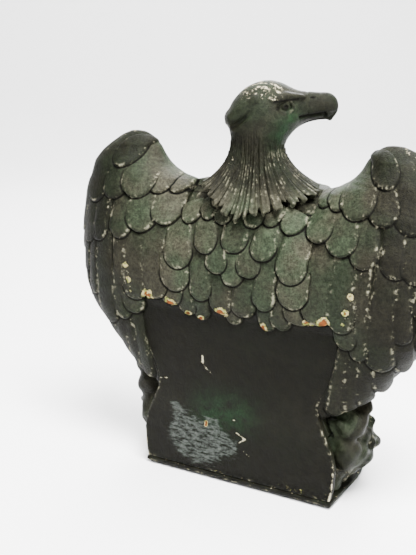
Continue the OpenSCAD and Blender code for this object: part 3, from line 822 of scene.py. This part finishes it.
def head_field(x, y, z):
    angle, far, radius, ragged = neck_place(x, y, z)
    neck = far - radius - neck_relief(angle, z, ragged)
    neck = np.where(z < 227, np.maximum(neck, radius - 6 - far), neck)
    neck = round_max(neck, (ragged - z) * 0.8, 1)
    neck = round_max(neck, z - 276, 3)
    neck = round_min(neck, seat(x, y, z), 1)
    return round_min(head_form(x, y, z), neck, 5)


def head_marks(x, y, z):
    angle, far, radius, ragged = neck_place(x, y, z)
    a, b = along_beak(x, y)
    on_neck = smooth_step(272, 262, z) * smooth_step(4, 1, far - radius)
    on_neck = on_neck * smooth_step(262, 248, z + 0.4 * abs(a - 20))
    lid = np.exp(-((np.sqrt(((a - 17.2) / 1.35) ** 2 + (z - 282.4) ** 2) - 4.3) / 0.9) ** 2) * (b > 10)
    # Painted shade in the hackle grooves, the eye's pit, the mouth line, the nostril, under the brow and
    # round the jaw, and a painted shadow under the skirt's ragged foot.
    groove = -0.35 * locks(angle, 31, z, 20) - 0.4 * locks(angle, 67, z, 70)
    groove = np.clip(groove - 0.3 * locks(angle, 113, z, 130) - 0.25, 0, 1)
    eye = np.exp(-((a - 17.6) ** 2 + (z - 282.6) ** 2) / 4) * (b > 10)
    mouth = np.exp(-((z - 275.6 - 0.15 * (a - 30)) / 0.7) ** 2) * (a > 27) * (a < 46.5)
    shade = np.exp(-((z - 287 - 0.1 * (a - 18)) / 1) ** 2) * (a > 8) * (a < 27)
    shade = np.maximum(shade, np.exp(-(((a - 11.5) / 2.2) ** 2 + ((z - 281.5) / 1.8) ** 2))) * (b > 8)
    shade = np.maximum(shade, 0.4 * np.exp(-(((a + 6) / 10) ** 2 + ((z - 269) / 7) ** 2)) * (b > 8))
    nostril = np.exp(-(((a - 37) / 1.9) ** 2 + ((z - 288.4) / 0.8) ** 2))
    under = smooth_step(2.5, -1, z - ragged) * smooth_step(-1, -4, far - radius)
    face = np.maximum(np.maximum(eye, 0.8 * shade), np.maximum(mouth, nostril))
    gap = np.maximum(np.maximum(groove * on_neck, under), face)
    # Painted light: the hackles low on the skirt are painted paler, as if lit from above; the crown gets a
    # painted highlight on top, and the beak is darker paint.
    lit = 0.75 * smooth_step(232, 214, z) + 0.12
    skull = 0.22 - 0.14 * smooth_step(22, 32, a) + 0.25 * smooth_step(290, 298, z)
    moss = 0.8 * spots(x, y, z, [(-22, 14, 262, 9), (-24, 6, 274, 8)])
    return {"gap": gap, "moss": moss,
            "edge": np.clip(0.6 * locks(angle, 67, z, 70), 0, 1) * on_neck + 0.25 * lid,
            "pale": np.where(z < 262, lit, 0.12 + (skull - 0.12) * smooth_step(262, 276, z)),
            "fleck": 0.95 * np.minimum(1, spots(x, y, z, head_flecks))}


head_flecks = [(-2, 6, 299, 12), (6, 14, 293, 9), (0, 18, 290, 8), (-10, 14, 292, 8), (-16, 13, 290, 7),
               (-10, 3, 299, 10), (12, 23, 245, 6)]
piece = skin("head_and_neck_cast", (-66, -46, 196), (46, 54, 303), 0.65, head_field, head_marks,
             feather_paint)
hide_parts("head_and_neck")


# ------------------------------------------------------------------ rock
# A hollow casting in the shape of a broken boulder, flat behind where the panel closes it, with four
# lugs inside for the screws of the closing plate. Its ridges are rubbed to the cream ground.
dice = np.random.default_rng(11)
facets = []
for n in range(34):
    turn_n, tilt = dice.uniform(-3.3, 0.15), dice.uniform(-0.12, 0.5)
    facets.append((math.cos(turn_n) * math.cos(tilt), math.sin(turn_n) * math.cos(tilt), math.sin(tilt),
                   dice.uniform(0.94, 1.14)))


SCREW_LUGS = ((66, 16), (62, -34))
OUTCROPS = (((88, 18, 77), (11, 14, 10)), ((85, 22, 62), (12, 11, 13)), ((84, 24, 40), (9, 9, 16)))


def rock_width(z):
    return at(z, 6, 80, 14, 83, 24, 92, 32, 101, 42, 106, 54, 106, 62, 103, 67, 100, 72, 105, 80, 106,
              86, 98)


def rock_front(z):
    return 62 * at(z, 6, 0.97, 20, 1, 34, 0.97, 45, 0.92, 54, 0.84)


def rock_top(x, y):
    outside = smooth_step(60, 74, abs(x))
    waves = 23 + 6 * np.sin(0.21 * y + 1.3 * np.sign(x)) + 3 * np.sin(0.5 * y + x * 0.2)
    return 51.8 + outside * waves * smooth_step(-34, -4, y)


def rock_ridges(x, y, z):
    """Two nearest of the flat faces: their difference is small along a ridge."""
    u, v = x / rock_width(z), np.where(y > 0, y * 0.6 / 33, y / rock_front(z))
    h = (z - 24) / 60
    best = -9 + 0 * (x + y + z)
    second = best
    for a, b, c, reach in facets:
        value = (a * u + b * v + c * h) / reach
        second = np.maximum(second, np.minimum(value, best))
        best = np.maximum(best, value)
    return best, second


def rock_field(x, y, z):
    wide, deep = rock_width(z), rock_front(z)
    v = np.where(y > 0, (abs(y) / 33.4) ** 4, (abs(y) / deep) ** 2.86)
    form = ((abs(x) / wide) ** 2.86 + v) ** 0.35 - 1
    best, second = rock_ridges(x, y, z)
    form = form * 60
    craggy = (best - 0.93) * 26
    crack = 2.2 * np.exp(-((best - second) / 0.012) ** 2) * (best > 0.8)
    lumps = 1.1 * np.sin(0.16 * x + 0.11 * z) * np.sin(0.19 * y - 0.13 * z + 1)
    lumps = lumps + 0.5 * np.sin(0.5 * x + 0.3 * y) * np.sin(0.45 * z)
    form = round_max(form, craggy * 1.2 - 1, 3)
    for middle, radii in OUTCROPS:
        form = round_min(form, ball(abs(x), y, z, middle, radii), 3)
    form = form + lumps - 0.25 * crack + 0.4
    for px, py in SCREW_LUGS:
        form = round_min(form, limb(abs(x), y, z, (px, py, 0), (px, py, 18), 10, 8), 4)
    hollow = round_max(form + 6, z - 46, 4)
    for px, py in SCREW_LUGS:
        lug = np.maximum(np.sqrt((abs(x) - px) ** 2 + (y - py) ** 2) - 6.5, z - 20)
        hollow = np.maximum(hollow, -lug)
    form = round_max(form, z - rock_top(x, y), 3)
    form = np.maximum(form, -hollow)
    form = round_max(form, y - 33.4, 0.8)
    form = np.maximum(form, np.where((abs(x) < body_half(z) + 1) & (y < 34), z - 52.2, -9))
    return round_max(form, 6.5 - z, 0.6)


def rock_marks(x, y, z):
    best, second = rock_ridges(x, y, z)
    ridge = np.exp(-((best - second) / 0.02) ** 2)
    low = smooth_step(16, 7, z)
    # The rock is darker where no flat face is cut into it.
    return {"edge": np.clip(ridge * 1.3, 0, 1), "gap": 0.75 * smooth_step(0.9, 0.7, best),
            "pale": 0.12 + 0.3 * smooth_step(0.2, 0.5, np.sin(0.13 * x + 0.2 * y + 0.1 * z)),
            "fleck": 0.5 * ridge + 0.4 * low}


piece = skin("rock_base_cast", (-112, -68, 4), (112, 37, 88), 1.1, rock_field, rock_marks, feather_paint)
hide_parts("rock_base")


# ------------------------------------------------------------------ feet
# Two solid castings bolted down through the rock, with three knuckled toes in front and one behind.
# The shank goes up inside the thigh; the claws are curved over the rock.
def foot_field(side):
    def field(x, y, z):
        x = x - side * 32
        y = y + 31
        h = z - 52.9
        form = limb(x, y, h, (0, 0, 15.2), (0, 0, 6), 6.2, 7)
        rings = 0.35 * np.cos(1.5 * h) * (h > 6)
        form = form + rings
        for lean in (-32, 0, 32, 180):
            way = math.radians(-90 + side * 12 + lean)
            a = x * math.cos(way) + y * math.sin(way)
            b = -x * math.sin(way) + y * math.cos(way)
            k = 0.62 if lean == 180 else 1
            toe = limb(a, b, h, (2, 0, 8), (9 * k, 0, 6), 4.6, 4.2)
            toe = round_min(toe, limb(a, b, h, (9 * k, 0, 5.6), (15 * k, 0, 4.2), 4.4, 3.6), 1)
            toe = round_min(toe, ball(a, b, h, (9.5 * k, 0, 6), (3.4, 4.6, 4.4)), 1)
            toe = round_min(toe, ball(a, b, h, (16 * k, 0, 4.3), (3.2, 4.1, 3.9)), 1)
            toe = toe + 0.25 * np.cos(a * 2.6) * smooth_step(1.5, 3.5, h)
            claw = limb(a, b, h, (18 * k, 0, 4.6), (22 * k, 0, 3.6), 2.7, 2)
            claw = round_min(claw, limb(a, b, h, (22 * k, 0, 3.6), (24 * k, 0, 1.3), 2, 0.7), 0.6)
            form = round_min(form, round_min(toe, claw, 0.4), 1.6)
        form = round_max(form, 0.1 - h, 0.4)
        return np.maximum(form, h - 15.2)
    return field


def foot_marks(x, y, z):
    # Painted shade along the bottom of the toes where they sit on the rock; the foot is paler towards the
    # top.
    top = smooth_step(56, 62, z)
    return {"pale": 0.2 + 0.3 * top, "edge": 0.4 * smooth_step(58, 61, z),
            "gap": 0.5 * smooth_step(54.5, 53, z), "fleck": 0.35}


for name, side in (("left_foot", 1), ("right_foot", -1)):
    low = (side * 32 - 26, -60, 51)
    high = (side * 32 + 26, -10, 70)
    piece = skin(name + "_cast", low, high, 0.6, foot_field(side), foot_marks, feather_paint)
    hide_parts(name)


# ------------------------------------------------------------------ closing plate and felt pad
# The hollow rock is closed by a sawn steel plate, painted dark with the rest and chipped all along its
# rim. A thin pad of black felt is glued under it, cut a little short of the rim.
def footprint(x, y, inset):
    wide, front, back = 79 - inset, 62 - inset, 40 - inset
    shape = ((abs(x) / wide) ** 3.2 + (np.maximum(0, -y) / front) ** 3.2) ** (1 / 3.2) - 1
    return np.maximum(np.maximum(shape * 55, abs(x) - wide), y - back)


def plate_field(x, y, z):
    form = round_max(footprint(x, y, 0) + 0 * z, abs(z - 4.1) - 2, 0.9)
    form = form + 0.12 * np.sin(x * 1.1 + y * 0.9) * np.sin(x * 0.37 - z)
    return np.maximum(form, 11.25 - np.sqrt(x * x + y * y))


def plate_marks(x, y, z):
    rim = smooth_step(-2.5, -0.3, footprint(x, y, 0))
    # The top of the plate's rim is darker in patches.
    patchy = 0.5 + 0.5 * np.sin(x * 0.31 + y * 0.2)
    return {"edge": rim * np.exp(-((z - 2.6) / 0.7) ** 2) * 1.3, "chip": 0.25 * rim,
            "fleck": 0.7 * rim * smooth_step(3.4, 5.6, z),
            "gap": 0.5 * rim * smooth_step(3, 4.4, z) * patchy}


piece = skin("base_plate_steel", (-81, -64, 0.8), (81, 42, 7.4), 0.8, plate_field, plate_marks,
             feather_paint)
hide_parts("base_plate")

felt = bpy.data.materials.new("black_felt")
felt.use_nodes = True
tree = felt.node_tree
shader = tree.nodes["Principled BSDF"]
coords = tree.nodes.new("ShaderNodeTexCoord").outputs["Object"]
fibres = noise(tree, coords, 1500, 5, 0.8)
clumps = noise(tree, coords, 240, 4, 0.6)
wool = step_up(tree, maths(tree, "ADD", fibres, clumps), 0.8, 1.25)
wool = blend_colour(tree, wool, (0.006, 0.006, 0.006, 1), (0.035, 0.034, 0.031, 1))
wire(tree, wool, shader.inputs["Base Color"])
shader.inputs["Roughness"].default_value = 0.98
shader.inputs["Specular IOR Level"].default_value = 0.1
shader.inputs["Sheen Weight"].default_value = 0.4
bump = tree.nodes.new("ShaderNodeBump")
bump.inputs["Distance"].default_value = 0.0005
wire(tree, maths(tree, "ADD", fibres, clumps), bump.inputs["Height"])
wire(tree, bump.outputs["Normal"], shader.inputs["Normal"])


def pad_field(x, y, z):
    fuzz = 0.22 * np.sin(2.1 * x + 1.3 * y) * np.sin(1.7 * y - 0.9 * x + z)
    fuzz = fuzz + 0.15 * np.sin(0.7 * x) * np.sin(0.8 * y)
    form = round_max(footprint(x, y, 1.7) + fuzz, abs(z - 1) - 0.92 + 0.4 * abs(fuzz), 0.5)
    return np.maximum(form, 13 - np.sqrt(x * x + y * y) + fuzz)


def pad_marks(x, y, z):
    return {}


piece = skin("felt_pad_cut", (-80, -63, -1), (80, 41, 3), 0.8, pad_field, pad_marks, felt)
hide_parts("felt_pad")


# ------------------------------------------------------------------ socket, tie rod and fasteners
# Turned and bought-in hardware: the shapes are already right, so the pieces keep them and take the
# look of blackened iron (socket) and dull zinc-plated steel (rod, nuts, bolts, pins and screws).
def metal(name, base, worn, roughness, grain_scale):
    material = bpy.data.materials.new(name)
    material.use_nodes = True
    tree = material.node_tree
    shader = tree.nodes["Principled BSDF"]
    coords = tree.nodes.new("ShaderNodeTexCoord").outputs["Object"]
    cloud = noise(tree, coords, grain_scale, 5, 0.65)
    fine = noise(tree, coords, 1400, 3, 0.6)
    colour = blend_colour(tree, step_up(tree, cloud, 0.42, 0.62), base, worn)
    wire(tree, colour, shader.inputs["Base Color"])
    shader.inputs["Metallic"].default_value = 0.85
    cloudy = maths(tree, "ADD", maths(tree, "MULTIPLY", cloud, 0.4), roughness)
    wire(tree, cloudy, shader.inputs["Roughness"])
    bump = tree.nodes.new("ShaderNodeBump")
    bump.inputs["Distance"].default_value = 0.00015
    wire(tree, maths(tree, "ADD", cloud, fine), bump.inputs["Height"])
    wire(tree, bump.outputs["Normal"], shader.inputs["Normal"])
    return material


socket_iron = metal("blackened_iron", (0.05, 0.047, 0.043, 1), (0.12, 0.07, 0.045, 1), 0.35, 160)
zinc_steel = metal("dull_zinc_steel", (0.46, 0.46, 0.44, 1), (0.30, 0.28, 0.24, 1), 0.22, 220)
for name in ("tie_rod", "tie_rod_nuts", "tie_rod_washer", "wing_bolts", "wing_washers", "foot_bolts",
             "foot_washers", "seam_pins", "base_screws", "socket_screws", "post_socket"):
    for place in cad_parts[name].material_slots:
        place.material = socket_iron if name == "post_socket" else zinc_steel
